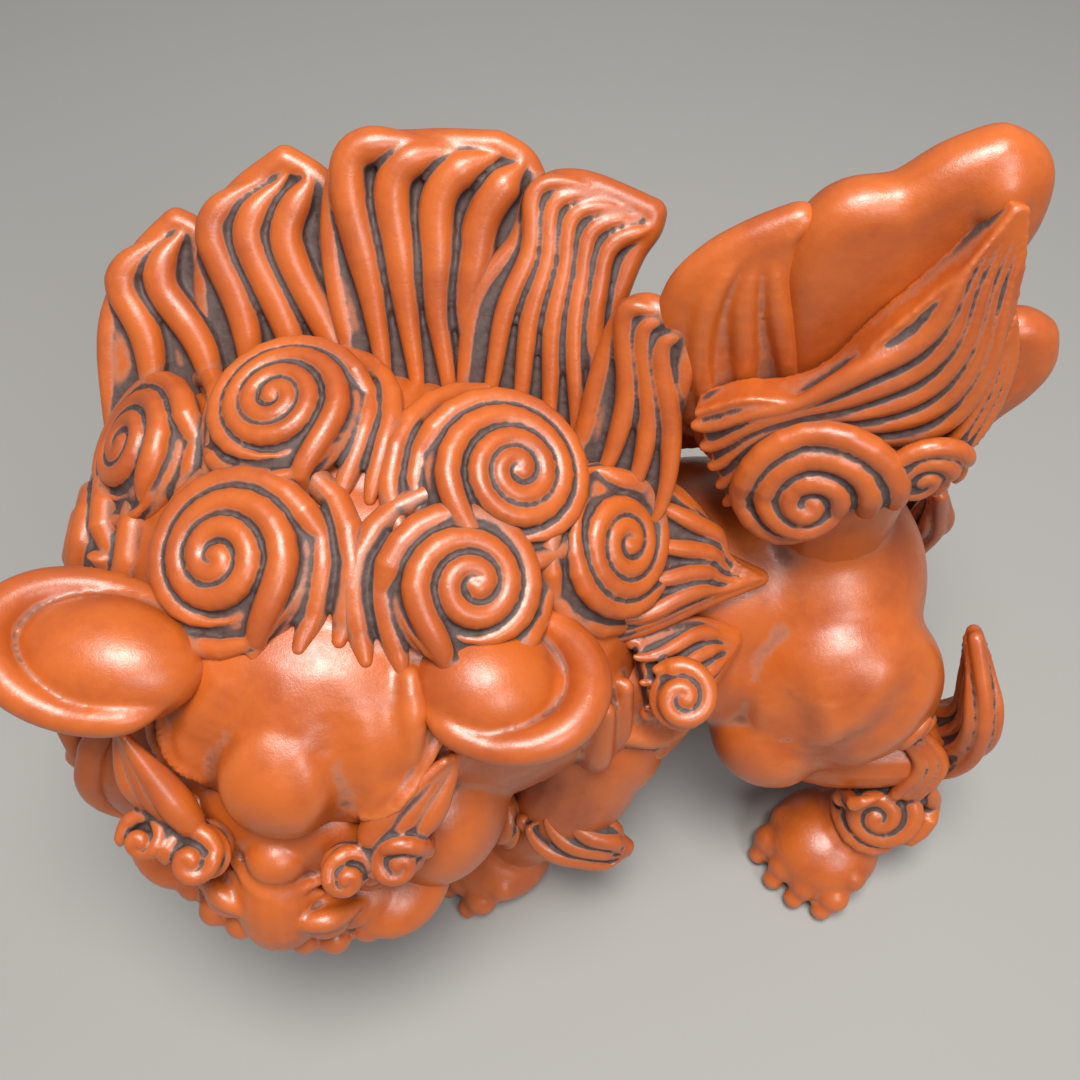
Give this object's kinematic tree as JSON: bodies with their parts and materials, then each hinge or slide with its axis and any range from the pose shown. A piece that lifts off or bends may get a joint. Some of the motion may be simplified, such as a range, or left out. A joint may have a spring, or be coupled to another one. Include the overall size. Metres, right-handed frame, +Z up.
{
  "type": "foo dog statue",
  "caption": "Standing guardian lion in unglazed red clay, head turned to its left, with a mane of snail curls, a fan of flame locks and an upright plumed tail.",
  "frame": {"origin": "on the floor, under the middle of the whole lion's box", "axes": "+X towards the tail, -X towards the head, -Y the way that the turned face looks, which is the lion's left, +Z up"},
  "size_m": [0.3124, 0.2194, 0.28],
  "materials": {
    "bare_clay": "satin burnished red clay",
    "washed_clay": "satin red clay with a slate-grey wash left in the grooves"
  },
  "bodies": {
    "root": {"beard_curl_left": "washed_clay", "beard_curl_middle": "washed_clay", "beard_curl_right": "washed_clay", "crest_lock_1": "washed_clay", "crest_lock_2": "washed_clay", "crest_lock_3": "washed_clay", "crest_lock_4": "washed_clay", "crest_lock_5": "washed_clay", "head_shell": "bare_clay", "left_brow": "washed_clay", "left_ear": "bare_clay", "left_elbow_tuft": "washed_clay", "left_eye": "bare_clay", "left_foreleg": "bare_clay", "left_foreleg_curl": "washed_clay", "left_heel_tuft": "washed_clay", "left_hindleg": "bare_clay", "left_hock_curl": "washed_clay", "lower_jaw": "bare_clay", "mane_curl_brow_left": "washed_clay", "mane_curl_brow_right": "washed_clay", "mane_curl_cheek_right": "washed_clay", "mane_curl_crown_left": "washed_clay", "mane_curl_crown_right": "washed_clay", "mane_curl_nape_left": "washed_clay", "mane_curl_nape_middle": "washed_clay", "mane_curl_nape_right": "washed_clay", "mane_curl_side_right": "washed_clay", "mane_curl_temple_left": "washed_clay", "mane_curl_temple_right": "washed_clay", "muzzle": "bare_clay", "nape_lock_1": "washed_clay", "nape_lock_2": "washed_clay", "nape_lock_3": "washed_clay", "nape_lock_4": "washed_clay", "nape_lock_5": "washed_clay", "right_brow": "washed_clay", "right_ear": "bare_clay", "right_elbow_tuft": "washed_clay", "right_eye": "bare_clay", "right_foreleg": "bare_clay", "right_foreleg_curl": "washed_clay", "right_heel_tuft": "washed_clay", "right_hindleg": "bare_clay", "right_hock_curl": "washed_clay", "shoulder_lock_lower": "washed_clay", "shoulder_lock_upper": "washed_clay", "tail_left_curl_large": "washed_clay", "tail_left_curl_small": "washed_clay", "tail_left_plume": "washed_clay", "tail_right_curl_large": "washed_clay", "tail_right_curl_small": "washed_clay", "tail_right_plume": "washed_clay", "tail_root": "bare_clay", "tail_tongue_front": "bare_clay", "tail_tongue_rear": "bare_clay", "tail_tongue_tall": "bare_clay", "teeth": "bare_clay", "torso_shell": "bare_clay"}
  },
  "joints": []
}
